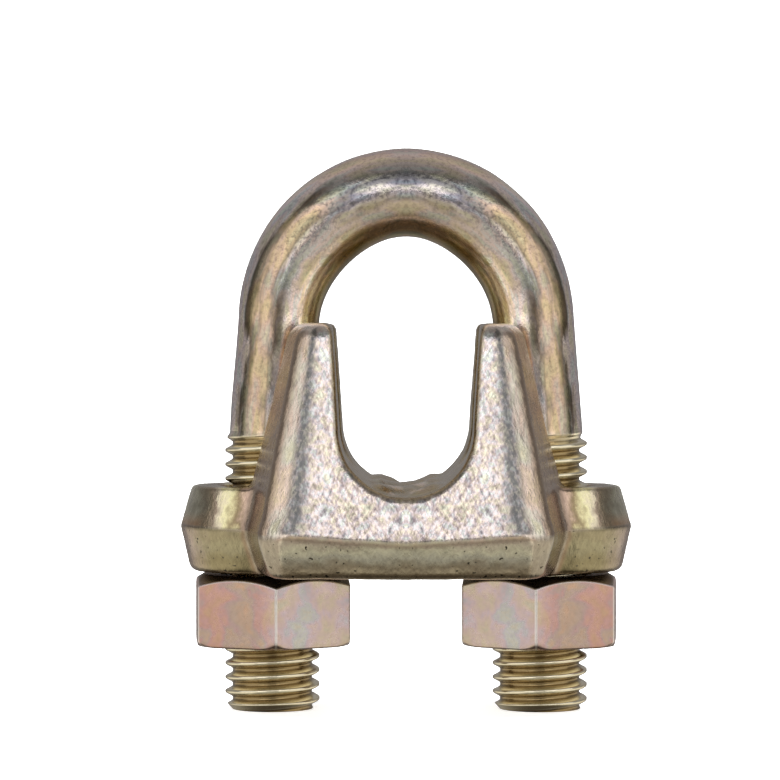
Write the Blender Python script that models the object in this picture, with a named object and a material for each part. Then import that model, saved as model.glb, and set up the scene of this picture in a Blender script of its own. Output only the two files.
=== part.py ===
"""Wire rope clip for 13 mm rope: a U-bolt, a forged saddle and two hex nuts.

The clip stands on its two leg ends: z = 0 is the plane of the leg ends, x = 0 the middle between the
legs and y = 0 the plane of the U-bolt. The rope lies along Y, on the saddle and under the bow.
"""

import math

import bmesh
import bpy
from mathutils import Matrix, Vector

MM = 0.001

# Thread of both legs: metric coarse M10, right-handed.
THREAD_MAJOR_R = 5.0 * MM
THREAD_PITCH = 1.5 * MM
THREAD_DEPTH = 0.85 * MM
THREAD_CREST = THREAD_PITCH / 8
THREAD_ROOT = THREAD_PITCH / 4
THREAD_TOP_Z = 29.6 * MM
THREAD_START_Z = 0.35 * MM  # height of a root's middle at +X of the leg's axis
THREAD_STEPS = 18  # facets in a turn
LEG_END_CHAMFER = 0.8 * MM

# U-bolt: a round bar, upset a little at the crown and drawn a little thinner at the sides.
LEG_X = 14.15 * MM
LEG_BAR_R = 4.5 * MM
SIDE_BAR_R = 4.3 * MM
CROWN_BAR_R = 4.66 * MM
SHOULDER_SWELL = 0.15 * MM
BOW_R = 14.47 * MM
BOW_CENTRE_Z = 40.3 * MM
BOW_CENTRE_PAST_MIDDLE = 1.0 * MM
CROWN_FROM = math.radians(66)  # where the side arc gives way to a tighter one
BOW_STEPS = 13  # segments from a side to the crown
BAR_SIDES_RESOLUTION = 7  # 18 sides

# Saddle: a block with four horns around the rope seat, on a base with two ears.
SADDLE_BOTTOM_Z = 14.65 * MM
EAR_PARTING_Z = 19.4 * MM
EAR_TOP_Z = 23.7 * MM
EAR_R = 9.7 * MM
EAR_DRAFT_TOP = 1.2 * MM
EAR_DRAFT_BOTTOM = 1.1 * MM
EAR_EDGE = 0.6 * MM
LEG_HOLE_R = 5.5 * MM
SEAT_R = 6.9 * MM
SEAT_CENTRE_Z = 30.0 * MM
SEAT_FLARE = math.radians(3.6)
BOW_SLOT_HALF = 5.5 * MM
BOW_SLOT_FLOOR_Z = 26.0 * MM
HORN_TOP_Z = 40.8 * MM
RIB_HEIGHT = 0.7 * MM
RIB_R = 1.6 * MM
RIB_SPACING = 12.0 * MM
RIB_LAY_ANGLE = math.radians(25)
RIB_HALF_ARC = math.radians(38)
RIBS = 4  # two across the middle and one cut short at each end

# The block's outline at each height: the front face's half-width and y, the corner facet's outer edge
# and its y, and the half-width of the flank beside the bow slot. Millimetres.
BLOCK_STATIONS = (
    (14.65, 12.4, 16.7, 14.3, 15.2, 15.2),
    (15.5, 13.0, 17.5, 15.0, 16.0, 16.0),
    (18.1, 13.4, 18.0, 15.4, 16.5, 16.6),
    (23.0, 11.6, 16.6, 13.9, 15.0, 16.3),
    (29.0, 10.7, 14.9, 13.1, 13.2, 14.9),
    (34.0, 10.0, 13.5, 12.5, 11.9, 13.7),
    (38.0, 9.2, 12.3, 11.4, 10.9, 12.4),
    (40.1, 8.9, 11.4, 10.5, 10.3, 11.3),
    (40.8, 8.6, 10.6, 9.8, 9.8, 10.3),
)

# Nuts: M10, 16 mm across flats, chamfered on the side that bears on the saddle.
NUT_ACROSS_FLATS = 16.0 * MM
NUT_HEIGHT = 7.5 * MM
NUT_CHAMFER_ANGLE = math.radians(30)
NUT_FACE_R = 7.3 * MM
NUT_EDGE = 0.5 * MM
NUT_TURN = {"left": math.radians(4.5), "right": math.radians(-4.5)}  # where tightening left them
NUT_COUNTERSINK_R = 5.5 * MM
NUT_COUNTERSINK = 0.7 * MM
THREAD_RADIAL_PLAY = 0.22 * MM
THREAD_AXIAL_PLAY = 0.17 * MM

GAP = 0.3 * MM  # between pieces that touch
MERGE = 0.001 * MM
MARGIN = 2.0 * MM  # how far a cutter runs past what it cuts

NUT_TOP_Z = SADDLE_BOTTOM_Z - GAP
NUT_BOTTOM_Z = NUT_TOP_Z - NUT_HEIGHT
SIDES = {"left": -1, "right": 1}


def clear_scene():
    """Remove everything that the open file holds in its scene."""
    for old in list(bpy.data.objects):
        bpy.data.objects.remove(old, do_unlink=True)


def new_collection(name):
    """A collection linked to the scene."""
    made = bpy.data.collections.new(name)
    bpy.context.scene.collection.children.link(made)
    return made


def plated(name, colour, roughness):
    """Zinc plate with a yellow chromate film."""
    made = bpy.data.materials.new(name)
    made.use_nodes = True
    shader = made.node_tree.nodes["Principled BSDF"]
    shader.inputs["Base Color"].default_value = (*colour, 1)
    shader.inputs["Roughness"].default_value = roughness
    shader.inputs["Metallic"].default_value = 1.0
    return made


def object_from_bmesh(name, bm, collection):
    """A new object holding the bmesh, with its faces pointing out."""
    bmesh.ops.recalc_face_normals(bm, faces=bm.faces)
    mesh = bpy.data.meshes.new(name)
    bm.to_mesh(mesh)
    bm.free()
    made = bpy.data.objects.new(name, mesh)
    collection.objects.link(made)
    return made


def turned(name, profile, segments, collection):
    """A solid of revolution about Z from (radius, z) points that start and end on the axis."""
    bm = bmesh.new()
    points = [bm.verts.new((radius, 0, z)) for radius, z in profile]
    edges = [bm.edges.new(pair) for pair in zip(points, points[1:])]
    bmesh.ops.spin(
        bm, geom=points + edges, cent=(0, 0, 0), axis=(0, 0, 1), angle=math.tau, steps=segments
    )
    bmesh.ops.remove_doubles(bm, verts=bm.verts, dist=MERGE)
    return object_from_bmesh(name, bm, collection)


def extruded(name, outline, depth, to_world, collection):
    """A closed (u, v) outline extruded by depth either way along its normal, then placed."""
    bm = bmesh.new()
    front = bm.faces.new([bm.verts.new((u, v, -depth)) for u, v in outline])
    swept = bmesh.ops.extrude_face_region(bm, geom=[front])
    back = [item for item in swept["geom"] if isinstance(item, bmesh.types.BMVert)]
    bmesh.ops.translate(bm, verts=back, vec=(0, 0, 2 * depth))
    bm.transform(to_world)
    return object_from_bmesh(name, bm, collection)


def lofted(name, sections, collection):
    """A solid through closed outlines with equal numbers of points, each a list of (x, y, z)."""
    bm = bmesh.new()
    rings = [[bm.verts.new(point) for point in section] for section in sections]
    for low, high in zip(rings, rings[1:]):
        for i in range(len(low)):
            bm.faces.new((low[i - 1], low[i], high[i], high[i - 1]))
    bm.faces.new(rings[0])
    bm.faces.new(rings[-1])
    return object_from_bmesh(name, bm, collection)


def mesh_from_curve(name, points, radii, resolution, collection):
    """A capped round tube along the points, as a welded mesh object."""
    curve = bpy.data.curves.new(name, "CURVE")
    curve.dimensions = "3D"
    curve.bevel_depth = 1.0
    curve.bevel_resolution = resolution
    curve.use_fill_caps = True
    spline = curve.splines.new("POLY")
    spline.points.add(len(points) - 1)
    for control, point, radius in zip(spline.points, points, radii):
        control.co = (*point, 1)
        control.radius = radius
    guide = bpy.data.objects.new(name + "_guide", curve)
    collection.objects.link(guide)
    evaluated = guide.evaluated_get(bpy.context.evaluated_depsgraph_get())
    bm = bmesh.new()
    bm.from_mesh(bpy.data.meshes.new_from_object(evaluated))
    bmesh.ops.remove_doubles(bm, verts=bm.verts, dist=MERGE)
    made = object_from_bmesh(name, bm, collection)
    made.matrix_world = guide.matrix_world
    bpy.data.objects.remove(guide, do_unlink=True)
    return made


def combine(target, tool, operation):
    """An exact Boolean of the target with a tool that stays out of the model."""
    step = target.modifiers.new(operation.lower() + "_" + tool.name, "BOOLEAN")
    step.solver = "EXACT"
    step.operation = operation
    step.object = tool
    tool.hide_render = True
    tool.display_type = "WIRE"


def thread(name, major_r, minor_r, crest, root, low, high, collection):
    """A right-hand screw thread about Z as one solid with raw helical ends past low and high."""
    first_turn = math.floor(low / THREAD_PITCH) - 1
    turns = math.ceil(high / THREAD_PITCH) + 1 - first_turn
    start = first_turn * THREAD_PITCH + THREAD_START_Z
    flank = (THREAD_PITCH - crest - root) / 2
    profile = (
        (minor_r, -root / 2),
        (minor_r, root / 2),
        (major_r, root / 2 + flank),
        (major_r, root / 2 + flank + crest),
        (minor_r, THREAD_PITCH - root / 2),
    )
    bm = bmesh.new()
    points = [bm.verts.new((radius, 0, start + z)) for radius, z in profile]
    edges = [bm.edges.new(pair) for pair in zip(points, points[1:])]
    bmesh.ops.spin(
        bm,
        geom=points + edges,
        cent=(0, 0, 0),
        axis=(0, 0, 1),
        dvec=(0, 0, THREAD_PITCH / THREAD_STEPS),
        angle=math.tau * turns,
        steps=THREAD_STEPS * turns,
    )
    bmesh.ops.remove_doubles(bm, verts=bm.verts, dist=MERGE)
    rims = [edge for edge in bm.edges if edge.is_boundary]
    middle = start + turns * THREAD_PITCH / 2
    for is_upper in (False, True):
        end = start + THREAD_PITCH * (turns if is_upper else 0) + THREAD_PITCH / 2
        hub = bm.verts.new((0, 0, end))
        for rim in rims:
            a, b = rim.verts
            if ((a.co.z + b.co.z) / 2 > middle) == is_upper:
                bm.faces.new((a, b, hub))
    return object_from_bmesh(name, bm, collection)


def leg_place(side):
    """The offset from the middle to a leg's axis."""
    return Vector((SIDES[side] * LEG_X, 0, 0))


def bow_path():
    """The bar's centreline as (x, z, bar radius), from the right leg over the crown to the left leg.

    Each half is a line from the thread's top, a wide side arc tangent to it, and a tighter crown arc.
    """
    side_centre = Vector((-BOW_CENTRE_PAST_MIDDLE, BOW_CENTRE_Z))
    to_leg = Vector((LEG_X, THREAD_TOP_Z)) - side_centre
    first = math.atan2(to_leg.y, to_leg.x) + math.acos(BOW_R / to_leg.length)
    tighter = BOW_CENTRE_PAST_MIDDLE / math.cos(CROWN_FROM)
    crown_centre = Vector((0, BOW_CENTRE_Z + tighter * math.sin(CROWN_FROM)))
    inside_thread = THREAD_TOP_Z - THREAD_PITCH
    half = [(LEG_X, inside_thread, LEG_BAR_R), (LEG_X, THREAD_TOP_Z, LEG_BAR_R)]
    for i in range(BOW_STEPS + 1):
        share = i / BOW_STEPS
        angle = first + (math.pi / 2 - first) * share
        on_crown = angle > CROWN_FROM
        centre, bend_r = (crown_centre, BOW_R - tighter) if on_crown else (side_centre, BOW_R)
        point = centre + bend_r * Vector((math.cos(angle), math.sin(angle)))
        bar_r = SIDE_BAR_R + (CROWN_BAR_R - SIDE_BAR_R) * math.sin(share * math.pi / 2)
        bar_r += SHOULDER_SWELL * math.sin(share * math.pi) ** 2
        half.append((point.x, point.y, bar_r))
    return half + [(-x, z, bar_r) for x, z, bar_r in reversed(half[:-1])]


def build_u_bolt(parts, cutters):
    """The bent bar with a rolled thread on each leg."""
    path = bow_path()
    u_bolt = mesh_from_curve(
        "u_bolt",
        [(x, 0, z) for x, z, _ in path],
        [radius for _, _, radius in path],
        BAR_SIDES_RESOLUTION,
        parts,
    )
    root_r = THREAD_MAJOR_R - THREAD_DEPTH
    over_r = THREAD_MAJOR_R + MERGE
    envelope = (
        (0, 0),
        (over_r - LEG_END_CHAMFER, 0),
        (over_r, LEG_END_CHAMFER),
        (over_r, THREAD_TOP_Z - THREAD_DEPTH),
        (root_r, THREAD_TOP_Z),
        (0, THREAD_TOP_Z),
    )
    for side in SIDES:
        rod = thread(
            "thread_" + side,
            THREAD_MAJOR_R,
            root_r,
            THREAD_CREST,
            THREAD_ROOT,
            0,
            THREAD_TOP_Z,
            cutters,
        )
        trim = turned("thread_trim_" + side, envelope, THREAD_STEPS * 2, cutters)
        rod.location = trim.location = leg_place(side)
        combine(rod, trim, "INTERSECT")
        combine(u_bolt, rod, "UNION")
    return u_bolt


def block_section(station):
    """One horizontal outline of the saddle's block, as twelve points around the middle."""
    z, front_x, front_y, facet_x, facet_y, flank_x = (value * MM for value in station)
    quarter = ((flank_x, BOW_SLOT_HALF), (facet_x, facet_y), (front_x, front_y))
    right_back = list(quarter)
    left_back = [(-x, y) for x, y in reversed(quarter)]
    around = right_back + left_back
    around += [(-x, -y) for x, y in around]
    return [(x, y, z) for x, y in around]


def seat_outline():
    """The rope opening across the saddle: a round seat between walls that flare upwards."""
    above = HORN_TOP_Z + MARGIN - SEAT_CENTRE_Z
    mouth = SEAT_R + above * math.tan(SEAT_FLARE)
    round_steps = 14
    outline = [(mouth, SEAT_CENTRE_Z + above)]
    for i in range(round_steps + 1):
        angle = -math.pi * i / round_steps
        outline.append((SEAT_R * math.cos(angle), SEAT_CENTRE_Z + SEAT_R * math.sin(angle)))
    outline.append((-mouth, SEAT_CENTRE_Z + above))
    return outline


def slot_outline():
    """The slot between front and rear horns that lets the bow through, with a round floor."""
    top = HORN_TOP_Z + MARGIN
    corner = 2.5 * MM
    outline = [(BOW_SLOT_HALF, top)]
    for centre, first in ((1, 0), (-1, -90)):
        for degrees in (0, -30, -60, -90):
            angle = math.radians(first + degrees)
            u = centre * (BOW_SLOT_HALF - corner) + corner * math.cos(angle)
            outline.append((u, BOW_SLOT_FLOOR_Z + corner + corner * math.sin(angle)))
    outline.append((-BOW_SLOT_HALF, top))
    return outline


def seat_ribs(collection):
    """The raised ribs that bite between the rope's strands, each a helix on the seat's surface."""
    centre_r = SEAT_R - RIB_HEIGHT + RIB_R
    ribs = []
    for number in range(RIBS):
        middle_y = (number - (RIBS - 1) / 2) * RIB_SPACING
        points = []
        for i in range(9):
            arc = RIB_HALF_ARC * (i / 4 - 1)
            x = centre_r * math.sin(arc)
            y = middle_y + SEAT_R * arc / math.tan(RIB_LAY_ANGLE)
            points.append((x, y, SEAT_CENTRE_Z - centre_r * math.cos(arc)))
        inside = [point for point in points if abs(point[1]) < BLOCK_STATIONS[3][2] * MM - RIB_R]
        ribs.append(
            mesh_from_curve(f"seat_rib_{number + 1}", inside, [RIB_R] * len(inside), 3, collection)
        )
    return ribs


def build_saddle(parts, cutters):
    """The forging: a block between two ears, with the rope seat, the bow slot and the leg holes cut."""
    saddle = lofted("saddle", [block_section(station) for station in BLOCK_STATIONS], parts)
    bottom, top = SADDLE_BOTTOM_Z, EAR_TOP_Z
    ear_profile = (
        (0, bottom),
        (EAR_R - EAR_DRAFT_BOTTOM - EAR_EDGE, bottom),
        (EAR_R - EAR_DRAFT_BOTTOM, bottom + EAR_EDGE),
        (EAR_R, EAR_PARTING_Z),
        (EAR_R - EAR_DRAFT_TOP, top - EAR_EDGE),
        (EAR_R - EAR_DRAFT_TOP - EAR_EDGE, top),
        (0, top),
    )
    for side in SIDES:
        ear = turned("ear_" + side, ear_profile, 40, cutters)
        ear.location = leg_place(side)
        combine(saddle, ear, "UNION")

    upright = Matrix.Rotation(math.pi / 2, 4, "X")
    far = 30 * MM
    seat = extruded("rope_seat", seat_outline(), far, upright, cutters)
    combine(saddle, seat, "DIFFERENCE")
    across = Matrix.Rotation(math.pi / 2, 4, "Z") @ upright
    slot = extruded("bow_slot", slot_outline(), far, across, cutters)
    combine(saddle, slot, "DIFFERENCE")
    for rib in seat_ribs(cutters):
        combine(saddle, rib, "UNION")
    for side in SIDES:
        low, high = SADDLE_BOTTOM_Z - MARGIN, HORN_TOP_Z + MARGIN
        bore = ((0, low), (LEG_HOLE_R, low), (LEG_HOLE_R, high), (0, high))
        hole = turned("leg_hole_" + side, bore, 36, cutters)
        hole.location = leg_place(side)
        combine(saddle, hole, "DIFFERENCE")
    return saddle


def build_nut(side, parts, cutters):
    """A hex nut threaded to match its leg, with an edge of the hexagon towards the front."""
    bm = bmesh.new()
    corner_r = NUT_ACROSS_FLATS / math.sqrt(3)
    bmesh.ops.create_cone(
        bm, cap_ends=True, segments=6, radius1=corner_r, radius2=corner_r, depth=NUT_HEIGHT
    )
    middle = (NUT_TOP_Z + NUT_BOTTOM_Z) / 2
    bm.transform(Matrix.Translation((0, 0, middle)) @ Matrix.Rotation(NUT_TURN[side], 4, "Z"))
    nut = object_from_bmesh("nut_" + side, bm, parts)
    nut.location = leg_place(side)

    chamfer_drop = (corner_r - NUT_FACE_R) * math.tan(NUT_CHAMFER_ANGLE)
    envelope = (
        (0, NUT_BOTTOM_Z),
        (corner_r - NUT_EDGE, NUT_BOTTOM_Z),
        (corner_r, NUT_BOTTOM_Z + NUT_EDGE),
        (corner_r, NUT_TOP_Z - chamfer_drop),
        (NUT_FACE_R, NUT_TOP_Z),
        (0, NUT_TOP_Z),
    )
    outer = turned("nut_chamfer_" + side, envelope, 48, cutters)

    tap = thread(
        "nut_thread_" + side,
        THREAD_MAJOR_R + THREAD_RADIAL_PLAY,
        THREAD_MAJOR_R - THREAD_DEPTH + THREAD_RADIAL_PLAY,
        THREAD_CREST + THREAD_AXIAL_PLAY,
        THREAD_ROOT - THREAD_AXIAL_PLAY,
        NUT_BOTTOM_Z,
        NUT_TOP_Z,
        cutters,
    )
    low, high = NUT_BOTTOM_Z, NUT_TOP_Z
    neck_r = THREAD_MAJOR_R - THREAD_DEPTH
    mouth = (
        (0, low - MARGIN),
        (NUT_COUNTERSINK_R, low - MARGIN),
        (NUT_COUNTERSINK_R, low),
        (neck_r, low + NUT_COUNTERSINK),
        (neck_r, high - NUT_COUNTERSINK),
        (NUT_COUNTERSINK_R, high),
        (NUT_COUNTERSINK_R, high + MARGIN),
        (0, high + MARGIN),
    )
    countersink = turned("nut_countersink_" + side, mouth, THREAD_STEPS * 2, cutters)
    for tool in (outer, tap, countersink):
        tool.location = nut.location
    combine(nut, outer, "INTERSECT")
    combine(nut, tap, "DIFFERENCE")
    combine(nut, countersink, "DIFFERENCE")
    return nut


def build():
    """The whole clip."""
    clear_scene()
    parts = new_collection("wire_rope_clip")
    cutters = new_collection("cutters")
    forged = plated("yellow_chromate_forged", (0.62, 0.57, 0.44), 0.36)
    turned_finish = plated("yellow_chromate_bar", (0.55, 0.50, 0.36), 0.30)
    nut_finish = plated("yellow_chromate_nut", (0.63, 0.52, 0.44), 0.28)

    u_bolt = build_u_bolt(parts, cutters)
    u_bolt.data.materials.append(turned_finish)
    saddle = build_saddle(parts, cutters)
    saddle.data.materials.append(forged)
    for side in SIDES:
        nut = build_nut(side, parts, cutters)
        nut.data.materials.append(nut_finish)

    for piece in parts.objects:
        piece.data.shade_smooth()
        piece.data.set_sharp_from_angle(angle=math.radians(30))


build()
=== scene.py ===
"""The looks of a wire rope clip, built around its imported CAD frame.

Lengths are in metres. The shaping code works in millimetres and converts once, in mesh_object.
The U-bolt lies in the XZ plane, the rope runs along Y, and the two leg ends stand on z = 0.
"""

import math

import bpy
import numpy as np
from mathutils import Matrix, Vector


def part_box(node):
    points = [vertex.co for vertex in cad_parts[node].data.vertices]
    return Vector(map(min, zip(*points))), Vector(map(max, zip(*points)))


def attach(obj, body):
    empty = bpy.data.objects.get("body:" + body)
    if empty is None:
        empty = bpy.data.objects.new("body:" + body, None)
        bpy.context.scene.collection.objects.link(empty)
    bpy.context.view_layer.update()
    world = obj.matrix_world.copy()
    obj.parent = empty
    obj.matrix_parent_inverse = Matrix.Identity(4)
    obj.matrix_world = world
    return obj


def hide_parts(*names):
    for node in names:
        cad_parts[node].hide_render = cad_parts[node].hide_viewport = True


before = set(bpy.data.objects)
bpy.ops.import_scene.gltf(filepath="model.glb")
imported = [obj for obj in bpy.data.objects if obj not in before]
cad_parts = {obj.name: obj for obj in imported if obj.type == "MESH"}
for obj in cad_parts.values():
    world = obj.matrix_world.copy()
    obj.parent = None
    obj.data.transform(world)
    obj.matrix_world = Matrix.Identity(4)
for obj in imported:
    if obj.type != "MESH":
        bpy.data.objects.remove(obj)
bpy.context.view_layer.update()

MM = 0.001

# ---------------------------------------------------------------- sizes, in millimetres
NUT_LOW, NUT_HIGH = (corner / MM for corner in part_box("nut_right"))
SADDLE_LOW, SADDLE_HIGH = (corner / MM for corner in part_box("saddle"))

LEG_X = (NUT_LOW.x + NUT_HIGH.x) / 2
PITCH = 1.5
THREAD_R = 5.0
THREAD_DEPTH = 0.80
THREAD_TOP = 29.6
THREAD_START = 0.35
LEG_END_CHAMFER = 0.75
BAR_R = 4.5
SIDE_BAR_R = 4.3
CROWN_BAR_R = 4.66
SHOULDER_SWELL = 0.15
BOW_R = 14.47
BOW_CENTRE_Z = 40.3
BOW_PAST_MIDDLE = 1.0
CROWN_FROM = math.radians(66)

# The seat's ribs are helices, half a spacing to either side of the middle. RIB_LEAD is how far one goes
# along the rope for each millimetre round it, and RIB_REACH how far round the seat they go.
SEAT_R = 6.9
SEAT_Z = 30.0
SEAT_FLARE = math.tan(math.radians(3.6))
RIB_HEIGHT = 0.7
RIB_SPACING = 12.0
RIB_LEAD = 2.14
RIB_REACH = 0.66 * SEAT_R
HOLE_R = 5.5
SLOT_HALF = 5.5
SLOT_FLOOR = 26.0

# Heights above the saddle's seating face.
BLOCK_PARTING = 3.45
CREASE = 3.75
EAR_PARTING = 4.75
EAR_HEIGHT = 9.05
TIP_FROM = 25.0

# The front crease climbs towards the corners, by this much in a millimetre. Round them the block flares
# into a skirt, from this height above its parting line downwards.
CREASE_CLIMB = 0.063
SKIRT_HEIGHT = 3.4
SKIRT_FLARE = 0.35
BLOCK_CORNER = (15.09, 15.59)
BASE_EDGE = 0.9

NUT_FLATS = 16.0
NUT_FACE_R = 7.3
NUT_CHAMFER = math.radians(30)
NUT_CHAMFER_REACH = 1.4
NUT_FOOT_CHAMFER = 0.75
NUT_FOOT_EDGE = 0.3
NUT_COUNTERSINK = 0.65
THREAD_PLAY = 0.25
NUT_TURN = {"left": math.radians(4.5), "right": math.radians(-4.5)}


# ---------------------------------------------------------------- mesh tools
def mesh_object(name, points, faces, marks=None):
    """A smooth-shaded mesh object from points in millimetres and quads or triangles.

    marks holds a number or a vector for each point, by name, for the materials to read.
    """
    mesh = bpy.data.meshes.new(name)
    mesh.from_pydata((np.asarray(points) * MM).tolist(), [], [tuple(face) for face in faces])
    mesh.shade_smooth()
    for label, values in (marks or {}).items():
        is_vector = values.ndim == 2
        layer = mesh.attributes.new(label, "FLOAT_VECTOR" if is_vector else "FLOAT", "POINT")
        layer.data.foreach_set("vector" if is_vector else "value", values.ravel())
    made = bpy.data.objects.new(name, mesh)
    bpy.context.scene.collection.objects.link(made)
    return made


def smoothstep(value):
    value = np.clip(value, 0, 1)
    return value * value * (3 - 2 * value)


def soft_step(value, none_at, whole_at):
    """A soft rise from 0 where the value is none_at to 1 where it is whole_at."""
    return smoothstep((value - none_at) / (whole_at - none_at))


def hump(value, middle, half_width):
    """1 at the middle, falling away softly on both sides."""
    return np.exp(-((value - middle) / half_width) ** 2)


def smooth_max(a, b, radius):
    """The larger of two fields, rounded over where they are close."""
    share = np.clip(0.5 + 0.5 * (a - b) / radius, 0, 1)
    return b + (a - b) * share + radius * share * (1 - share)


def smooth_min(a, b, radius):
    return -smooth_max(-a, -b, radius)


def ring_faces(rings, around, closed=False):
    """Quads between successive rings of points, each ring closed on itself."""
    row = np.arange(rings if closed else rings - 1)[:, None]
    column = np.arange(around)[None, :]
    right = (column + 1) % around
    here, above = row * around, (row + 1) % rings * around
    corners = (here + column, here + right, above + right, above + column)
    return np.stack(corners, axis=-1).reshape(-1, 4)


def value_noise(points, scale, seed):
    """Smooth random numbers from -1 to 1 in space, one lattice cell per scale."""
    random = np.random.default_rng(seed)
    cells = 24
    lattice = random.uniform(-1, 1, (cells, cells, cells))
    place = points / scale
    base = np.floor(place).astype(int)
    part = smoothstep(place - base)
    total = np.zeros(len(points))
    for corner in np.ndindex(2, 2, 2):
        weight = np.prod([part[:, i] if corner[i] else 1 - part[:, i] for i in range(3)], axis=0)
        cell = (base + corner) % cells
        total += weight * lattice[cell[:, 0], cell[:, 1], cell[:, 2]]
    return total


# ---------------------------------------------------------------- threads
def thread_height(turns):
    """Height of a rolled 60 degree thread from 0 at the root to 1 at the crest, along its pitch."""
    from_crest = np.abs(turns % 1.0 - 0.5)
    flank = np.clip((0.42 - from_crest) / 0.35, 0, 1)
    return flank + 0.7 * (smoothstep(flank) - flank)


# ---------------------------------------------------------------- U-bolt
def bow_points():
    """Centreline from the right leg's thread to the crown, as rows of x, z, bar radius and the bar's
    outward direction in x and z. A wide side arc runs into a tighter one over the crown."""
    centre_x = -BOW_PAST_MIDDLE
    to_leg = (LEG_X - centre_x, THREAD_TOP - BOW_CENTRE_Z)
    first = math.atan2(to_leg[1], to_leg[0]) + math.acos(BOW_R / math.hypot(*to_leg))
    end = (centre_x + BOW_R * math.cos(first), BOW_CENTRE_Z + BOW_R * math.sin(first))
    tighter = BOW_PAST_MIDDLE / math.cos(CROWN_FROM)
    leg_rings, bow_rings = 24, 70
    rows = []
    for share in np.linspace(0, 1, leg_rings)[1:-1]:
        lean = first * smoothstep(share * 3)
        radius = BAR_R + (SIDE_BAR_R - BAR_R) * smoothstep(share)
        x = LEG_X + (end[0] - LEG_X) * share
        z = THREAD_TOP + (end[1] - THREAD_TOP) * share
        rows.append((x, z, radius, math.cos(lean), math.sin(lean)))
    for share in np.linspace(0, 1, bow_rings):
        angle = first + (math.pi / 2 - first) * share
        on_crown = angle > CROWN_FROM
        bend_x = 0 if on_crown else centre_x
        bend_z = BOW_CENTRE_Z + (tighter * math.sin(CROWN_FROM) if on_crown else 0)
        bend_r = BOW_R - (tighter if on_crown else 0)
        radius = SIDE_BAR_R + (CROWN_BAR_R - SIDE_BAR_R) * math.sin(share * math.pi / 2)
        radius += SHOULDER_SWELL * math.sin(share * math.pi) ** 2
        out = (math.cos(angle), math.sin(angle))
        rows.append((bend_x + bend_r * out[0], bend_z + bend_r * out[1], radius, *out))
    return rows


def close_ends(rings, marks):
    """Points, faces and marks of a tube of rings whose ends are closed by flat discs."""
    shares = (0.25, 0.6, 0.93)
    around = rings.shape[1]
    hubs = rings[[0, -1]].mean(axis=1)
    first = [hubs[0] + (rings[0] - hubs[0]) * share for share in shares]
    last = [hubs[1] + (rings[-1] - hubs[1]) * share for share in reversed(shares)]
    points = np.vstack([np.concatenate([first, rings, last]).reshape(-1, 3), hubs])

    count = len(rings) + 2 * len(shares)
    hub = count * around
    faces = [tuple(face) for face in ring_faces(count, around)]
    for i in range(around):
        j = (i + 1) % around
        faces.append((j, i, hub))
        faces.append((hub - around + i, hub - around + j, hub + 1))

    closed_marks = {}
    for label, values in marks.items():
        ends = np.repeat(values[[0, -1]], len(shares), axis=0)
        whole = np.concatenate([ends[:len(shares)], values, ends[len(shares):]])
        flat = whole.reshape(hub, *values.shape[2:])
        closed_marks[label] = np.concatenate([flat, values[[0, -1], 0]])
    return points, faces, closed_marks


def make_u_bolt():
    """One bar as rings of points: thread, leg, bow, leg, thread. The rings are close together on the
    threads, where a point's distance from the leg's axis follows the helix."""
    around, rings_a_turn = 84, 20
    theta = np.linspace(0, math.tau, around, endpoint=False)
    leg_z = np.arange(0, THREAD_TOP, PITCH / rings_a_turn)
    right = [(LEG_X, z, BAR_R, 1.0, 0.0) for z in leg_z] + bow_points()
    left = [(-x, z, radius, -nx, nz) for x, z, radius, nx, nz in right[-2::-1]]
    rows = np.array(right + left)
    x, z, bar_r, out_x, out_z = (column[:, None] for column in rows.T)

    # On the left leg outward is -X, so the angles run the other way round.
    angle = np.where(x > 0, theta, math.pi - theta)
    height = thread_height((z - THREAD_START) / PITCH - angle / math.tau)
    threaded = THREAD_R - THREAD_DEPTH * (1 - height)
    on_thread = (z < THREAD_TOP) * soft_step(z, THREAD_TOP, THREAD_TOP - PITCH)
    radius = threaded * on_thread + bar_r * (1 - on_thread)
    end_chamfer = THREAD_R - LEG_END_CHAMFER + z * 0.9
    radius = smooth_min(radius, end_chamfer, 0.12)

    centre = np.stack(np.broadcast_arrays(x, 0 * x, z), -1)
    outward = np.stack(np.broadcast_arrays(out_x, 0 * x, out_z), -1)
    turn = np.cos(theta)[None, :, None] * outward + np.sin(theta)[None, :, None] * np.array((0, 1, 0))
    rings = centre + radius[..., None] * turn
    flat = rings.reshape(-1, 3)
    dents = 0.035 * value_noise(flat, 4.0, 3) + 0.012 * value_noise(flat, 1.3, 4)
    rings += (dents.reshape(radius.shape) * soft_step(z, THREAD_TOP, THREAD_TOP + 3))[..., None] * turn

    steps = np.hypot(np.diff(rows[:, 0]), np.diff(rows[:, 1]))
    along = np.concatenate([[0], np.cumsum(steps)])
    from_crown = np.abs(along - along[-1] / 2)[:, None] * np.ones(around)
    from_outside = np.arccos(np.cos(theta)) * np.ones(radius.shape)
    mottled = hump(from_outside, math.radians(80), math.radians(18))
    marks = {
        "bar_place": np.stack([from_crown, from_outside * BAR_R, 0 * from_crown], -1) * MM,
        "around": from_outside / math.pi,
        "thread": on_thread * np.ones(around),
        "groove": on_thread * (1 - height),
        "crown": soft_step(from_crown, 9.5, 5.0),
        "mottled": soft_step(from_crown, 20, 10) * mottled,
    }
    return mesh_object("u_bolt_bar", *close_ends(rings, marks))


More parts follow.
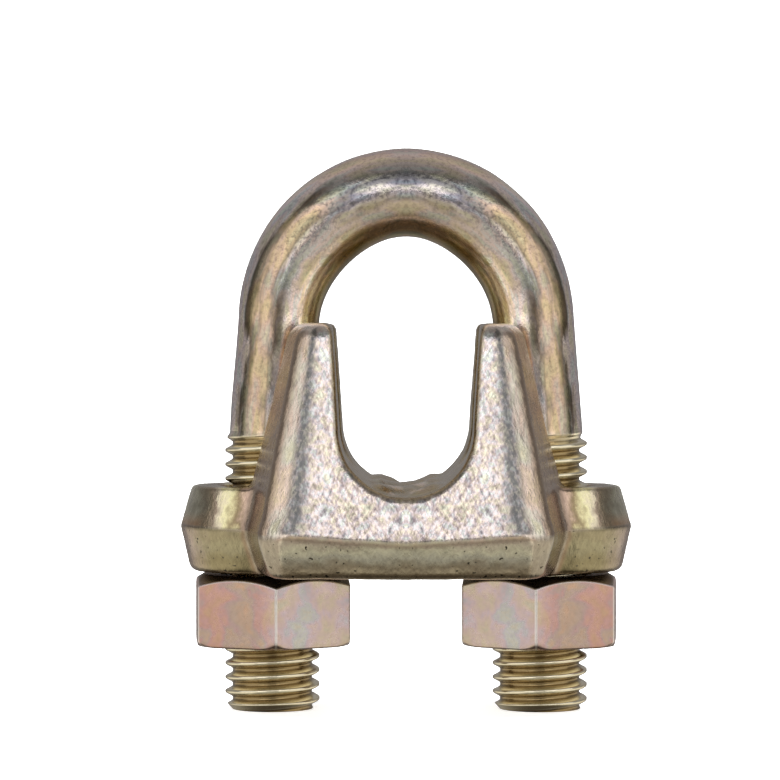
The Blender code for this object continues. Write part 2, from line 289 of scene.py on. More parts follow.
# ---------------------------------------------------------------- nuts
def make_nut(name, leg_x, turn):
    """A hex nut as one closed band of rings: up the flats, over the chamfer, down the threaded bore."""
    low, high = NUT_LOW.z, NUT_HIGH.z
    flat_r = NUT_FLATS / 2
    corner_r = flat_r / math.cos(math.pi / 6)
    around, bore_rings_a_turn = 360, 14
    even = np.linspace(0, math.tau, around, endpoint=False)
    theta = even + turn + 0.8 * np.sin(6 * even) / 6  # closest together at the corners
    hexagon = np.full(around, 2 * flat_r)
    for side in range(6):
        reach = np.cos(theta - turn - side * math.pi / 3)
        hexagon = smooth_min(hexagon, flat_r / np.maximum(reach, 0.3), 0.25)

    chamfer_low = high - NUT_CHAMFER_REACH
    heights = [low + NUT_FOOT_EDGE * (1 - math.cos(i * math.pi / 14)) for i in range(7)]
    heights += [*np.linspace(low + NUT_FOOT_EDGE, chamfer_low, 30)]
    heights += [*np.linspace(chamfer_low + 0.04, high, 34)]
    rings, edges, chamfers = [], [], []
    for z in heights:
        cone = NUT_FACE_R + (high - z) / math.tan(NUT_CHAMFER)
        foot = corner_r - NUT_FOOT_CHAMFER + (z - low) * 1.2
        above_foot = min((z - low) / NUT_FOOT_EDGE, 1)
        fillet = NUT_FOOT_EDGE * (1 - math.sqrt(1 - (1 - above_foot) ** 2))
        outline = smooth_min(smooth_min(hexagon, cone, 0.18), foot, 0.2)
        rings.append((outline - fillet, z))
        # The rounded corners, where a highlight is painted.
        on_corner = soft_step(hexagon, corner_r - 0.11, corner_r - 0.05)
        edges.append(np.maximum(on_corner * (cone > hexagon), 0.7 * hump(cone, hexagon, 0.13)))
        # The chamfer band, painted dark as shade under the saddle.
        chamfers.append(soft_step(hexagon - cone, 0.08, 0.23))

    top_edge, bottom_edge = rings[-1][0], rings[0][0]
    mouth_r = THREAD_R + NUT_COUNTERSINK
    face_shares = (0.15, 0.5, 0.85)
    rings += [(top_edge + (mouth_r - top_edge) * share, high) for share in face_shares]
    bore = THREAD_R - THREAD_DEPTH + THREAD_PLAY
    grooves = [np.zeros(around)] * len(rings)
    for z in np.arange(high, low - 0.001, -PITCH / bore_rings_a_turn):
        height = thread_height((z - THREAD_START) / PITCH - theta / math.tau)
        wall = bore + (THREAD_DEPTH - 0.02) * height
        mouth = mouth_r - min(high - z, z - low) * 0.9
        rings.append((smooth_max(wall, np.full(around, mouth), 0.1), z))
        grooves.append(0.4 + 0.6 * height)
    rings += [(mouth_r + (bottom_edge - mouth_r) * share, low) for share in face_shares]
    grooves += [np.zeros(around)] * len(face_shares)
    points = [
        np.stack([leg_x + radius * np.cos(theta), radius * np.sin(theta), np.full(around, z)], -1)
        for radius, z in rings
    ]
    faces = ring_faces(len(rings), around, closed=True)
    inward = -math.copysign(1, leg_x) * np.cos(np.tile(theta, len(rings)))
    edges += [np.zeros(around)] * (len(rings) - len(edges))
    chamfers += [np.zeros(around)] * (len(rings) - len(chamfers))
    marks = {
        "groove": np.concatenate(grooves),
        "edge": np.concatenate(edges),
        "chamfer": np.concatenate(chamfers),
        "inward": inward,
    }
    return mesh_object(name, np.concatenate(points), faces, marks)


# ---------------------------------------------------------------- saddle
def half_space(normal, point, x, y, z):
    """Signed distance to a plane through point: negative on the side away from the normal."""
    across, along, up = np.array(normal) / np.linalg.norm(normal)
    return across * (x - point[0]) + along * (y - point[1]) + up * (z - point[2])


def horn_planes(x, y, z):
    """The front face, corner facet and flank of one quarter of the block, as signed distances. Each
    leans in above the parting line and, more steeply, below it."""
    parting, deep = SADDLE_LOW.z + BLOCK_PARTING, SADDLE_HIGH.y
    climb = 0.1 + 0.11 * x  # lifts the lower slopes, and so the creases, towards the corners
    skirt = SKIRT_FLARE * soft_step(z, parting + SKIRT_HEIGHT, parting)
    corner = (*BLOCK_CORNER, parting)
    front_up = half_space((0, 1, 0.286), (0, deep, parting), x, y, z)
    front_down = half_space((0, 1, -0.41), (0, deep - 0.2, parting), x, y, z - climb)
    facet_up = half_space((0.627, 0.779, 0.30), corner, x, y, z)
    facet_down = half_space((0.627, 0.779, -0.38), corner, x, y, z - climb)
    flank_up = half_space((1, 0.25, 0.24), corner, x, y, z)
    flank_down = half_space((1, 0.25, -0.38), corner, x, y, z - climb)
    return (
        smooth_max(front_up, front_down, 0.22),
        smooth_max(facet_up, facet_down, 0.5) - skirt,
        smooth_max(flank_up, flank_down, 0.5) - skirt,
    )


def seat_field(x, y, z, front):
    """Signed distance to the rope opening, negative inside it. Helical ribs rise from its floor and
    fade before they reach the front face."""
    reach = np.hypot(x, np.maximum(SEAT_Z - z, 0))
    arc = SEAT_R * np.arctan2(x, SEAT_Z - z)
    lay = -np.cos(math.tau * (y - arc * RIB_LEAD) / RIB_SPACING)
    within = soft_step(np.abs(arc), RIB_REACH, RIB_REACH - 1.7) * soft_step(front, -1.2, -3.4)
    rib = RIB_HEIGHT * smoothstep(0.5 + 0.5 * lay) * within
    flare = np.maximum(z - SEAT_Z, 0) * SEAT_FLARE
    return reach - SEAT_R - flare + rib


def saddle_field(points):
    """Signed distance to the forging, negative inside, for rows of x, y, z in millimetres."""
    x, y, z = points.T
    ax, ay = np.abs(x), np.abs(y)
    base, tip = SADDLE_LOW.z, SADDLE_HIGH.z

    front, facet, flank = horn_planes(ax, ay, z)
    block = smooth_max(smooth_max(front, facet, 0.3), flank, 0.35)
    block = smooth_max(block, z - tip, 1.9)
    block = smooth_max(block, base - z, BASE_EDGE)

    rho = np.hypot(ax - LEG_X, y)
    parting = base + EAR_PARTING
    ear_r = SADDLE_HIGH.x - LEG_X
    ear = smooth_max(rho - ear_r + 0.29 * (z - parting), rho - ear_r - 0.23 * (z - parting), 0.10)
    ear = smooth_max(ear, z - base - EAR_HEIGHT, 0.5)
    ear = smooth_max(ear, base - z, BASE_EDGE)
    body = smooth_min(block, ear, 0.8)

    body = smooth_max(body, -seat_field(x, y, z, front), 0.9)

    slot = smooth_max(ay - SLOT_HALF, SLOT_FLOOR - z, 2.5)
    body = smooth_max(body, -slot, 0.8)
    return smooth_max(body, HOLE_R - rho, 0.6)


def surface_net(field, origin, step):
    """Cell centres that a field's zero level passes through, and outward quads between them."""
    inside = field < 0
    cells = tuple(n - 1 for n in inside.shape)
    count = np.zeros(cells, np.int8)
    for i, j, k in np.ndindex(2, 2, 2):
        count += inside[i:i + cells[0], j:j + cells[1], k:k + cells[2]]
    mixed = (count > 0) & (count < 8)
    index = np.full(cells, -1)
    index[mixed] = np.arange(mixed.sum())
    points = origin + (np.argwhere(mixed) + 0.5) * step

    quads = []
    for axis in range(3):
        u, v = (axis + 1) % 3, (axis + 2) % 3
        low = np.take(inside, range(inside.shape[axis] - 1), axis)
        high = np.take(inside, range(1, inside.shape[axis]), axis)
        edges = np.argwhere(low != high)
        corners = []
        for du, dv in ((1, 1), (0, 1), (0, 0), (1, 0)):
            cell = edges.copy()
            cell[:, u] -= du
            cell[:, v] -= dv
            corners.append(index[tuple(cell.T)])
        quad = np.stack(corners, -1)
        leaving = low[tuple(edges.T)]
        quad[~leaving] = quad[~leaving][:, ::-1]
        quads.append(quad)
    return points, np.concatenate(quads)


def pull_to_surface(points, field, passes=3):
    """Points moved along the field's slope until they lie on its zero level."""
    reach = 0.02
    for _ in range(passes):
        here = field(points)
        rises = [field(points + shift) - field(points - shift) for shift in np.eye(3) * reach]
        slope = np.stack(rises, -1) / (2 * reach)
        size = np.maximum((slope ** 2).sum(-1), 0.2)
        points = points - np.clip(here / size, -0.3, 0.3)[:, None] * slope
    return points, slope / np.linalg.norm(slope, axis=-1, keepdims=True)


def saddle_marks(points):
    """Where on the forging each point lies: on a struck face, along a crease, in the throat and so on."""
    x, y, z = points.T
    ax, ay = np.abs(x), np.abs(y)
    front, facet, flank = horn_planes(ax, ay, z)
    rise = z - SADDLE_LOW.z
    crease = CREASE + CREASE_CLIMB * ax
    below_tip = SADDLE_HIGH.z - z
    above_crease = soft_step(rise, crease, crease + 0.4)
    below_crease = soft_step(rise, crease, crease - 0.4)
    off_block = soft_step(flank, 0.3, 0.7)
    # A painted dark reflection streak down each horn's front face.
    reflection_streak = hump(front - facet, 0.018 * below_tip - 0.08, 0.22 + 0.024 * below_tip)
    on_skirt_corner = soft_step(np.maximum(facet, flank) - front, -0.1, 0.2) * soft_step(flank, 0.4, 0.1)
    from_seat = np.abs(seat_field(x, ay, z, front))
    return {
        "rise": rise / (SADDLE_HIGH.z - SADDLE_LOW.z),
        "reach": (ax - LEG_X) / (SADDLE_HIGH.x - LEG_X),
        "face": soft_step(front, -0.5, -0.05) * above_crease,
        "reflection_streak": reflection_streak * soft_step(front, -0.7, -0.4) * above_crease,
        "lip": hump(rise, crease - 0.3, 0.25) * soft_step(front, -0.6, -0.2),
        "side": soft_step(flank, -0.4, -0.1),
        "side_edge": hump(flank - facet, -0.28, 0.42) * soft_step(np.maximum(flank, facet), -0.35, -0.15),
        "tip": soft_step(rise, TIP_FROM, TIP_FROM + 0.8),
        "throat": soft_step(from_seat, 0.6, 0.25),
        "ear": off_block * soft_step(rise, EAR_PARTING - 0.15, EAR_PARTING + 0.05),
        "parting": off_block * hump(rise, EAR_PARTING, 0.16),
        "underside": below_crease,
        "ear_underside": soft_step(flank, -0.1, 0.3) * below_crease,
        "skirt_corner": on_skirt_corner * below_crease,
        "seam": hump(flank, 0.35, 0.2),
    }


def make_saddle():
    """The forging, meshed from its distance field, with the faint unevenness of a forged skin."""
    step = 0.23
    low = np.array(SADDLE_LOW) - 1.0
    high = np.array(SADDLE_HIGH) + 1.0
    axes = [np.arange(low[i], high[i], step) for i in range(3)]
    shape = tuple(len(axis) for axis in axes)
    field = np.empty(shape)
    for i, x in enumerate(axes[0]):
        grid = np.stack(np.meshgrid([x], axes[1], axes[2], indexing="ij"), -1)
        field[i] = saddle_field(grid.reshape(-1, 3)).reshape(shape[1:])
    points, quads = surface_net(field, low, step)
    points, normals = pull_to_surface(points, saddle_field)
    marks = saddle_marks(points)
    skin = 0.05 * value_noise(points, 5.0, 11) + 0.03 * value_noise(points, 1.9, 12)
    skin += 0.02 * value_noise(points, 0.8, 13)
    points = points + normals * (skin - 0.03)[:, None]
    points[:, 2] = np.maximum(points[:, 2], SADDLE_LOW.z)
    return mesh_object("saddle_forging", points, quads, marks)


# ---------------------------------------------------------------- materials
def wire(tree, value, socket):
    """A link into the socket, or its value where it is a plain number or colour."""
    if isinstance(value, bpy.types.NodeSocket):
        tree.links.new(value, socket)
    elif isinstance(value, tuple) and len(value) == 3 and socket.type == "RGBA":
        socket.default_value = (*value, 1)
    else:
        socket.default_value = value


def ramp(tree, factor, stops):
    """The colour at factor on a ramp of (position, colour) stops."""
    made = tree.nodes.new("ShaderNodeValToRGB")
    elements = made.color_ramp.elements
    while len(elements) < len(stops):
        elements.new(0.5)
    for element, (position, colour) in zip(elements, stops):
        element.position = position
        element.color = (*colour, 1)
    wire(tree, factor, made.inputs["Fac"])
    return made.outputs["Color"]


def fade(tree, value, low, high, start=0.0, end=1.0):
    """The value mapped from low..high to start..end, with soft ends."""
    made = tree.nodes.new("ShaderNodeMapRange")
    made.interpolation_type = "SMOOTHSTEP"
    wire(tree, value, made.inputs["Value"])
    for label, number in (("From Min", low), ("From Max", high), ("To Min", start), ("To Max", end)):
        made.inputs[label].default_value = number
    return made.outputs["Result"]


def calculate(tree, operation, a, b):
    """The result of a math node with two inputs."""
    made = tree.nodes.new("ShaderNodeMath")
    made.operation = operation
    wire(tree, a, made.inputs[0])
    wire(tree, b, made.inputs[1])
    return made.outputs[0]


def times(tree, a, b):
    return calculate(tree, "MULTIPLY", a, b)


def plus(tree, a, b):
    return calculate(tree, "ADD", a, b)


def mix(tree, factor, a, b, blend="MIX"):
    """A mix of two colours."""
    made = tree.nodes.new("ShaderNodeMix")
    made.data_type = "RGBA"
    made.blend_type = blend
    for value, socket in ((factor, made.inputs[0]), (a, made.inputs[6]), (b, made.inputs[7])):
        wire(tree, value, socket)
    return made.outputs[2]


def mark(tree, label, output="Fac"):
    """What a mesh's points say under this label."""
    made = tree.nodes.new("ShaderNodeAttribute")
    made.attribute_name = label
    return made.outputs[output]


def noise(tree, place, size, stretch=(1, 1, 1), turn=0.0, detail=3.0, roughness=0.55, distortion=0.0):
    """Noise whose features are size millimetres, stretched along axes that are turned about Y."""
    mapping = tree.nodes.new("ShaderNodeMapping")
    mapping.vector_type = "TEXTURE"
    mapping.inputs["Scale"].default_value = tuple(size * MM * s for s in stretch)
    mapping.inputs["Rotation"].default_value = (0, math.radians(turn), 0)
    wire(tree, place, mapping.inputs["Vector"])
    made = tree.nodes.new("ShaderNodeTexNoise")
    made.inputs["Scale"].default_value = 1.0
    made.inputs["Detail"].default_value = detail
    made.inputs["Roughness"].default_value = roughness
    made.inputs["Distortion"].default_value = distortion
    tree.links.new(mapping.outputs["Vector"], made.inputs["Vector"])
    return made.outputs["Fac"]


def mirrored_place(tree):
    """Object coordinates with x made positive, so that both sides of the clip are alike."""
    place = tree.nodes.new("ShaderNodeTexCoord").outputs["Object"]
    made = tree.nodes.new("ShaderNodeVectorMath")
    made.operation = "ABSOLUTE"
    tree.links.new(place, made.inputs[0])
    return made.outputs["Vector"]


def metal(name):
    """A new metallic material's node tree and shader."""
    made = bpy.data.materials.new(name)
    made.use_nodes = True
    shader = made.node_tree.nodes["Principled BSDF"]
    shader.inputs["Metallic"].default_value = 1.0
    return made, made.node_tree, shader


def finish_surface(tree, shader, colour, rough, height, relief):
    """The shader's colour and roughness, and relief in millimetres from a height."""
    wire(tree, colour, shader.inputs["Base Color"])
    wire(tree, rough, shader.inputs["Roughness"])
    bump = tree.nodes.new("ShaderNodeBump")
    bump.inputs["Distance"].default_value = relief * MM
    wire(tree, height, bump.inputs["Height"])
    tree.links.new(bump.outputs["Normal"], shader.inputs["Normal"])


# Interference tints of the chromate film, from thin to thick: olive, gold, pink, mauve, blue, green.
FILM = (
    (0.30, (0.86, 0.92, 0.72)),
    (0.39, (0.98, 0.90, 0.68)),
    (0.46, (1.00, 0.86, 0.80)),
    (0.52, (0.96, 0.82, 0.92)),
    (0.58, (0.80, 0.86, 0.98)),
    (0.64, (0.82, 0.95, 0.90)),
    (0.72, (0.96, 0.95, 0.76)),
)
# The bent bar's film tint with painted reflections, its highlight bands and dark rims, from its outer
# side round to its inner one, on the legs and over the crown.
LEG_FILM_AND_REFLECTIONS = (
    (0.00, (0.80, 0.76, 0.72)),
    (0.14, (0.86, 0.82, 0.77)),
    (0.20, (0.92, 0.87, 0.76)),
    (0.25, (0.18, 0.15, 0.10)),
    (0.30, (0.28, 0.23, 0.15)),
    (0.35, (0.66, 0.54, 0.38)),
    (0.40, (0.60, 0.48, 0.34)),
    (0.45, (0.28, 0.24, 0.18)),
    (0.50, (0.68, 0.65, 0.58)),
    (0.55, (0.90, 0.82, 0.70)),
    (0.60, (1.00, 0.90, 0.80)),
    (0.66, (0.80, 0.71, 0.55)),
    (0.71, (1.00, 0.92, 0.76)),
    (0.75, (1.00, 0.92, 0.66)),
    (0.81, (0.58, 0.49, 0.26)),
    (0.87, (0.28, 0.22, 0.11)),
    (1.00, (0.24, 0.18, 0.09)),
)
CROWN_FILM_AND_REFLECTIONS = (
    (0.00, (0.62, 0.54, 0.48)),
    (0.14, (0.70, 0.60, 0.53)),
    (0.20, (0.75, 0.66, 0.58)),
    (0.27, (0.80, 0.74, 0.64)),
    (0.31, (0.72, 0.69, 0.60)),
    (0.35, (0.42, 0.43, 0.38)),
    (0.40, (0.18, 0.19, 0.19)),
    (0.45, (0.30, 0.31, 0.33)),
    (0.50, (1.00, 0.99, 0.95)),
    (0.55, (0.60, 0.55, 0.44)),
    (0.60, (0.90, 0.81, 0.68)),
    (0.65, (0.86, 0.76, 0.64)),
    (0.70, (1.00, 0.92, 0.84)),
    (0.76, (0.42, 0.36, 0.27)),
    (0.86, (0.50, 0.43, 0.29)),
    (1.00, (0.46, 0.38, 0.26)),
)
# The ears above their parting line, from the block's wall out to their rims: film tints with painted
# reflection bands, a highlight near the wall and darker bands outside it.
EAR_FILM_AND_REFLECTIONS = (
    (0.24, (0.56, 0.40, 0.30)),
    (0.33, (0.28, 0.21, 0.11)),
    (0.38, (0.56, 0.48, 0.26)),
    (0.44, (0.98, 0.92, 0.52)),
    (0.51, (0.88, 0.78, 0.56)),
    (0.56, (0.42, 0.33, 0.24)),
    (0.64, (0.32, 0.26, 0.17)),
    (0.72, (0.34, 0.30, 0.21)),
    (0.80, (0.52, 0.51, 0.38)),
    (0.90, (0.90, 0.88, 0.70)),
    (1.00, (0.92, 0.90, 0.80)),
)
# The slope below the parting line, from the seating face up to the crease, with painted reflection bands
# tinted by the film. It is this many times lower than the saddle.
SKIRT_RISES = 5.2
SKIRT_FILM_AND_REFLECTIONS = (
    (0.00, (0.74, 0.64, 0.46)),
    (0.13, (0.66, 0.56, 0.40)),
    (0.25, (0.42, 0.35, 0.25)),
    (0.37, (0.54, 0.49, 0.38)),
    (0.49, (0.74, 0.72, 0.60)),
    (0.61, (0.98, 0.94, 0.72)),
    (0.73, (0.86, 0.76, 0.62)),
    (0.90, (0.80, 0.72, 0.60)),
)
BRASSY = (0.77, 0.70, 0.52)
# Painted shade in the thread roots, on the legs and in the nuts' bores.
ROOT_SHADE = (0.30, 0.22, 0.11)
WHITE = (1, 1, 1)


def bar_skin():
    """The bent bar: film colours with painted reflection bands drawn out along it, dark specks over its
    crown, and brassy threads with painted shade in their roots.
    """
    made, tree, shader = metal("chromated_bar")
    bar = mark(tree, "bar_place", "Vector")
    place = mirrored_place(tree)
    waver = fade(tree, noise(tree, bar, 2.2, (4, 1, 1), detail=4.0), 0.25, 0.75, -0.06, 0.06)
    around = plus(tree, mark(tree, "around"), waver)
    # Painted reflection bands round the bar, by the angle from its outer side.
    colour = mix(tree, mark(tree, "crown"), ramp(tree, around, LEG_FILM_AND_REFLECTIONS), ramp(tree, around, CROWN_FILM_AND_REFLECTIONS))
    drift = noise(tree, bar, 1.6, (3, 1, 1), detail=4.0, distortion=0.3)
    colour = mix(tree, 0.65, colour, ramp(tree, drift, FILM), "MULTIPLY")
    specks = noise(tree, place, 0.42, roughness=0.7)
    dark = ramp(tree, specks, ((0.36, (0.40, 0.40, 0.44)), (0.54, WHITE)))
    speckled = fade(tree, mark(tree, "mottled"), 0, 1, 0.4, 0.95)
    colour = mix(tree, speckled, colour, dark, "MULTIPLY")
    colour = mix(tree, mark(tree, "thread"), colour, BRASSY)
    # Painted shade deepening into the thread roots.
    colour = mix(tree, fade(tree, mark(tree, "groove"), 0.5, 1.0), colour, ROOT_SHADE)
    rough = fade(tree, noise(tree, place, 2.0), 0.3, 0.7, 0.15, 0.25)
    finish_surface(tree, shader, colour, rough, specks, 0.02)
    return made


def forged_skin():
    """The forging: pale struck faces whose short dark strokes thicken downwards, smooth tan corners,
    painted reflection bands on the ears and the skirt, a painted dark reflection streak on each horn, and
    darker colour along the creases; painted shade below the front crease, in the throat, under the ears,
    in the seams and round the skirt's corners."""
    made, tree, shader = metal("chromated_forging")
    place = mirrored_place(tree)
    face, rise, underside = mark(tree, "face"), mark(tree, "rise"), mark(tree, "underside")
    drift = noise(tree, place, 4.0, (1, 1, 1.8), detail=4.0, distortion=0.5)
    blush = noise(tree, place, 1.1, roughness=0.6)
    tan = mix(tree, 0.6, (0.98, 0.86, 0.67), ramp(tree, drift, FILM), "MULTIPLY")
    pale = mix(tree, 0.65, (0.88, 0.84, 0.77), ramp(tree, blush, FILM), "MULTIPLY")
    colour = mix(tree, face, tan, pale)
    waver = fade(tree, noise(tree, place, 2.2, detail=4.0), 0.25, 0.75, -0.08, 0.08)
    # Painted reflection bands on the slope below the parting line, by height.
    below = ramp(tree, plus(tree, times(tree, rise, SKIRT_RISES), waver), SKIRT_FILM_AND_REFLECTIONS)
    reach = plus(tree, mark(tree, "reach"), waver)
    burnt = times(tree, fade(tree, reach, 0.62, 0.80), fade(tree, rise, 0.25, 0.19, 0.0, 0.75))
    # The ear's colour across its width is a painted reflection of the lights, tinted by the film.
    on_ear = mix(tree, burnt, ramp(tree, reach, EAR_FILM_AND_REFLECTIONS), (0.62, 0.36, 0.18))
    under_ear = mix(tree, fade(tree, reach, 0.62, 0.95), (0.27, 0.23, 0.12), (0.42, 0.31, 0.27))
    # The throat, ear_underside, skirt_corner, seam and lip tints are painted shade in the hollows, under
    # the ears and below the front crease.
    tints = (
        ("side", 0.8, (0.52, 0.40, 0.32)),
        ("side_edge", 0.75, (0.34, 0.25, 0.17)),
        ("tip", 0.7, (0.52, 0.49, 0.52)),
        ("throat", 0.75, (0.40, 0.33, 0.20)),
        ("ear", 0.9, on_ear),
        ("underside", 0.95, below),
        ("ear_underside", 0.85, under_ear),
        ("skirt_corner", 0.9, (0.36, 0.31, 0.24)),
        ("seam", 0.65, (0.28, 0.18, 0.12)),
        ("parting", 0.8, (0.20, 0.17, 0.11)),
        ("lip", 0.6, (0.42, 0.29, 0.22)),
    )
    for label, strength, tint in tints:
        colour = mix(tree, times(tree, mark(tree, label), strength), colour, tint)

    falling = noise(tree, place, 0.36, (1, 1, 3.0), 26, roughness=0.6)
    rising = noise(tree, place, 0.32, (1, 1, 3.0), -18, roughness=0.6)
    strokes = times(tree, plus(tree, falling, rising), 0.5)
    dark = ramp(tree, strokes, ((0.37, (0.28, 0.26, 0.28)), (0.47, (0.62, 0.60, 0.61)), (0.58, WHITE)))
    thickening = fade(tree, rise, 0.75, 0.15, 0.8, 1.0)
    stroked = times(tree, fade(tree, face, 0, 1, 0.3, 1.0), thickening)
    colour = mix(tree, stroked, colour, dark, "MULTIPLY")
    # A painted dark reflection streak down each horn's face, broken by the strokes.
    reflection_streak = times(tree, mark(tree, "reflection_streak"), fade(tree, strokes, 0.60, 0.42, 0.78, 1.0))
    colour = mix(tree, reflection_streak, colour, (0.13, 0.13, 0.13))
    pits = fade(tree, noise(tree, place, 0.45, detail=1.0), 0.32, 0.26)
    colour = mix(tree, times(tree, pits, underside), colour, (0.08, 0.07, 0.05))
    rough = fade(tree, noise(tree, place, 1.4), 0.3, 0.7, 0.17, 0.30)
    finish_surface(tree, shader, colour, rough, strokes, 0.06)
    return made


def nut_skin():
    """The nuts: satin flats, pinker on the outward sides and greener towards the clip's middle, with a
    painted highlight along the rounded corners and painted shade on the chamfer under the saddle."""
    made, tree, shader = metal("chromated_nut")
    place = mirrored_place(tree)
    edge = mark(tree, "edge")
    drift = noise(tree, place, 3.2, distortion=0.4)
    side = fade(tree, mark(tree, "inward"), -0.2, 0.2)
    colour = mix(tree, side, (0.53, 0.36, 0.30), (0.58, 0.51, 0.48))
    colour = mix(tree, 0.75, colour, ramp(tree, drift, FILM), "MULTIPLY")
    dust = noise(tree, place, 0.5, roughness=0.6)
    dull = ramp(tree, dust, ((0.3, (0.7, 0.7, 0.7)), (0.6, WHITE)))
    colour = mix(tree, 0.4, colour, dull, "MULTIPLY")
    # Painted shade on the chamfer, which sits under the saddle.
    colour = mix(tree, times(tree, mark(tree, "chamfer"), 0.85), colour, (0.20, 0.17, 0.13))
    # A painted highlight along the rounded corners.
    colour = mix(tree, times(tree, edge, 0.9), colour, (0.98, 0.94, 0.89))
    # Painted shade in the bore's thread roots.
    colour = mix(tree, fade(tree, mark(tree, "groove"), 0.1, 0.9), colour, ROOT_SHADE)
    rough = fade(tree, noise(tree, place, 2.0), 0.3, 0.7, 0.24, 0.32)
    finish_surface(tree, shader, colour, plus(tree, rough, times(tree, edge, 0.2)), dust, 0.015)
    return made


# ---------------------------------------------------------------- stage
def backdrop_white():
    """A white paper lit from beneath, which keeps the shadows on it faint."""
    made = bpy.data.materials.new("studio_white")
    made.use_nodes = True
    shader = made.node_tree.nodes["Principled BSDF"]
    shader.inputs["Base Color"].default_value = (0.93, 0.93, 0.93, 1)
    shader.inputs["Roughness"].default_value = 0.9
    shader.inputs["Emission Color"].default_value = (1, 1, 1, 1)
    shader.inputs["Emission Strength"].default_value = 0.6
    return made


def make_stage():
    """A pale floor that curves up into a backdrop far behind the clip."""
    width, front, back, rise, bend = 2.4, -1.0, 1.2, 1.6, 0.5
    bend_steps = 12
    profile = [(front, 0.0), (back - bend, 0.0)]
    for i in range(1, bend_steps + 1):
        angle = math.pi / 2 * i / bend_steps
        profile.append((back - bend + bend * math.sin(angle), bend - bend * math.cos(angle)))
    profile.append((back, rise))
    points = [(x / MM, y / MM, z / MM) for y, z in profile for x in (-width, width)]
    faces = [(2 * i, 2 * i + 1, 2 * i + 3, 2 * i + 2) for i in range(len(profile) - 1)]
    floor = mesh_object("studio_floor", points, faces)
    floor.data.materials.append(backdrop_white())
    floor.visible_glossy = False


def area_light(name, place, target, size, power):
    """A soft rectangular light that faces the target."""
    data = bpy.data.lights.new(name, "AREA")
    data.shape = "RECTANGLE"
    data.size, data.size_y = size
    data.energy = power
    made = bpy.data.objects.new(name, data)
    made.location = place
    made.rotation_euler = (Vector(target) - Vector(place)).to_track_quat("-Z", "Y").to_euler()
    bpy.context.scene.collection.objects.link(made)
    return made


def soft_box(name, azimuth, elevation, wide, high, radiance):
    """A box light around the clip, placed and sized by angles in degrees. Azimuth 0 is the camera's."""
    distance, middle = 0.62, Vector((0, 0, 0.03))
    around, up = math.radians(azimuth), math.radians(elevation)
    toward = Vector((math.sin(around) * math.cos(up), -math.cos(around) * math.cos(up), math.sin(up)))
    size = [2 * distance * math.tan(math.radians(angle) / 2) for angle in (wide, high)]
    power = radiance * math.pi * size[0] * size[1]
    area_light(name, middle + distance * toward, middle, size, power)


def make_camera():
    """Level with the horns' tips, almost square on, with a long lens."""
    distance = 0.3736
    seen_width = 0.0825
    data = bpy.data.cameras.new("camera")
    data.sensor_width = 36.0
    data.lens = data.sensor_width * distance / seen_width
    data.clip_start = 0.01
    camera = bpy.data.objects.new("camera", data)
    camera.location = (0, -distance, 0.0398)
    aim = Vector((-0.0017, 0, 0.0337))
    camera.rotation_euler = (aim - camera.location).to_track_quat("-Z", "Y").to_euler()
    bpy.context.scene.collection.objects.link(camera)
    bpy.context.scene.camera = camera


# The room by the sine of elevation, mapped from -1..1 to 0..1, before, beside and behind the clip.
ROOM_FRONT = (
    (0.00, (0.06, 0.05, 0.04)),
    (0.05, (0.13, 0.11, 0.08)),
    (0.12, (0.42, 0.40, 0.35)),
    (0.26, (0.50, 0.48, 0.41)),
    (0.43, (0.50, 0.48, 0.44)),
    (0.51, (0.20, 0.19, 0.19)),
    (0.80, (0.24, 0.24, 0.25)),
    (0.90, (0.18, 0.18, 0.18)),
    (1.00, (0.32, 0.31, 0.30)),
)
ROOM_SIDE = (
    (0.00, (0.14, 0.12, 0.09)),
    (0.12, (0.74, 0.69, 0.59)),
    (0.30, (1.12, 1.07, 0.95)),
    (0.45, (0.80, 0.76, 0.68)),
    (0.51, (0.27, 0.26, 0.26)),
    (1.00, (0.27, 0.27, 0.28)),
)
ROOM_BACK = (
    (0.00, (0.05, 0.04, 0.03)),
    (0.25, (0.30, 0.28, 0.25)),
    (0.50, (0.26, 0.25, 0.25)),
    (0.75, (0.38, 0.37, 0.37)),
    (0.88, (0.41, 0.39, 0.38)),
    (0.96, (0.56, 0.53, 0.50)),
    (1.00, (0.34, 0.33, 0.32)),
)


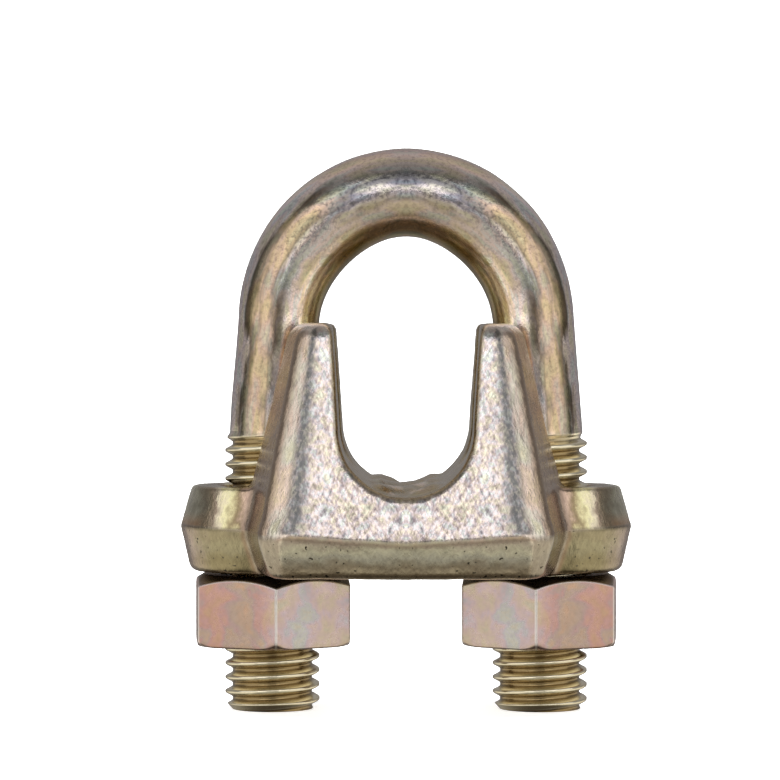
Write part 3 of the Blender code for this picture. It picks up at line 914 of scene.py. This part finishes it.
def studio_world():
    """Dim surroundings that change with height and from before the clip to beside and behind it."""
    world = bpy.context.scene.world or bpy.data.worlds.new("studio")
    bpy.context.scene.world = world
    world.use_nodes = True
    tree = world.node_tree
    direction = tree.nodes.new("ShaderNodeTexCoord").outputs["Generated"]
    split = tree.nodes.new("ShaderNodeSeparateXYZ")
    tree.links.new(direction, split.inputs["Vector"])
    height = tree.nodes.new("ShaderNodeMapRange")
    height.inputs["From Min"].default_value = -1.0
    tree.links.new(split.outputs["Z"], height.inputs["Value"])
    rise = height.outputs["Result"]
    behind = fade(tree, split.outputs["Y"], -0.15, 0.25)
    across = split.outputs["X"]
    beside = fade(tree, times(tree, across, across), 0.25, 0.5)
    colour = mix(tree, behind, ramp(tree, rise, ROOM_FRONT), ramp(tree, rise, ROOM_BACK))
    colour = mix(tree, beside, colour, ramp(tree, rise, ROOM_SIDE))
    wire(tree, colour, tree.nodes["Background"].inputs["Color"])


def make_lights():
    """Boxes on either side of the camera and above it, and a lamp on the backdrop alone."""
    for label, side in (("left", -1), ("right", 1)):
        soft_box(label + "_near_box", side * 26, 19, 25, 50, 1.15)
        soft_box(label + "_far_box", side * 62, 17, 47, 48, 0.75)
    soft_box("top_box", 0, 27, 25, 32, 1.02)
    lamp = area_light("backdrop_lamp", (0, 0.2, 0.9), (0, 0.7, 0.2), (1.2, 0.4), 16.0)
    lamp.visible_glossy = False
    studio_world()
    bpy.context.scene.view_settings.view_transform = "Standard"


# ---------------------------------------------------------------- assembly
make_camera()
make_stage()
make_lights()

nuts_skin = nut_skin()
left_nut = make_nut("left_hex_nut", -LEG_X, NUT_TURN["left"])
right_nut = make_nut("right_hex_nut", LEG_X, NUT_TURN["right"])
PIECES = (
    (make_u_bolt(), "u_bolt", "u_bolt", "plated_bar", bar_skin()),
    (make_saddle(), "saddle", "saddle", "plated_forging", forged_skin()),
    (left_nut, "nut_left", "nut_left", "plated_nut", nuts_skin),
    (right_nut, "nut_right", "nut_right", "plated_nut", nuts_skin),
)
for piece, body, node, slot, skin in PIECES:
    piece.data.materials.append(skin)
    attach(piece, body)
    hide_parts(node)
